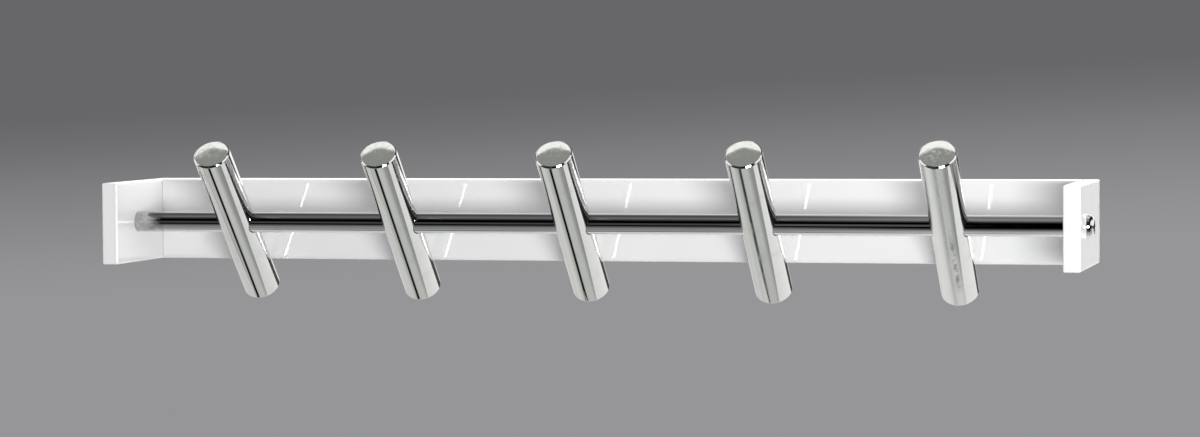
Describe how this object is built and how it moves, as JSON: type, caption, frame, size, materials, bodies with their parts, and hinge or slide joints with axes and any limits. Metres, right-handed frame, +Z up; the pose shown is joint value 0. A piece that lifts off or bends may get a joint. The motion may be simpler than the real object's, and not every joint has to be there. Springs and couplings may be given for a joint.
{
  "type": "coat hook rail",
  "caption": "Wall coat rail with a rod between two end plates and round pegs that lean on a raised back panel.",
  "frame": {"origin": "on the wall plane, in the middle of the four wall screw holes", "axes": "+X along the rail to the right as seen from the front, +Y into the wall, +Z up"},
  "size_m": [0.6088, 0.1175, 0.1006],
  "materials": {
    "gloss_white": "high gloss white lacquer",
    "chrome": "polished chrome plate",
    "screw_chrome": "polished chrome plate",
    "zinc_screw": "bright zinc plate",
    "zinc_bracket": "bright zinc plate"
  },
  "bodies": {
    "rail": {"back_panel": "gloss_white", "end_plate_left": "gloss_white", "end_plate_right": "gloss_white", "lock_screws": "zinc_screw", "panel_screws": "zinc_screw", "rod": "chrome", "rod_screws": "screw_chrome", "wall_bracket_left": "zinc_bracket", "wall_bracket_right": "zinc_bracket"},
    "peg_1": {"peg_1": "chrome"},
    "peg_2": {"peg_2": "chrome"},
    "peg_3": {"peg_3": "chrome"},
    "peg_4": {"peg_4": "chrome"},
    "peg_5": {"peg_5": "chrome"}
  },
  "joints": [
    {"name": "peg_1_tilt", "type": "hinge", "parent": "rail", "child": "peg_1", "pos_m": [-0.2239, -0.066, 0], "axis": [-1, 0, 0], "range_deg": [0, 90.7]},
    {"name": "peg_2_tilt", "type": "hinge", "parent": "rail", "child": "peg_2", "pos_m": [-0.1174, -0.066, 0], "axis": [-1, 0, 0], "range_deg": [0, 90.7]},
    {"name": "peg_3_tilt", "type": "hinge", "parent": "rail", "child": "peg_3", "pos_m": [-0.0086, -0.066, 0], "axis": [-1, 0, 0], "range_deg": [0, 90.7]},
    {"name": "peg_4_tilt", "type": "hinge", "parent": "rail", "child": "peg_4", "pos_m": [0.106, -0.066, 0], "axis": [-1, 0, 0], "range_deg": [0, 90.7]},
    {"name": "peg_5_tilt", "type": "hinge", "parent": "rail", "child": "peg_5", "pos_m": [0.2196, -0.066, 0], "axis": [-1, 0, 0], "range_deg": [0, 90.7]}
  ]
}
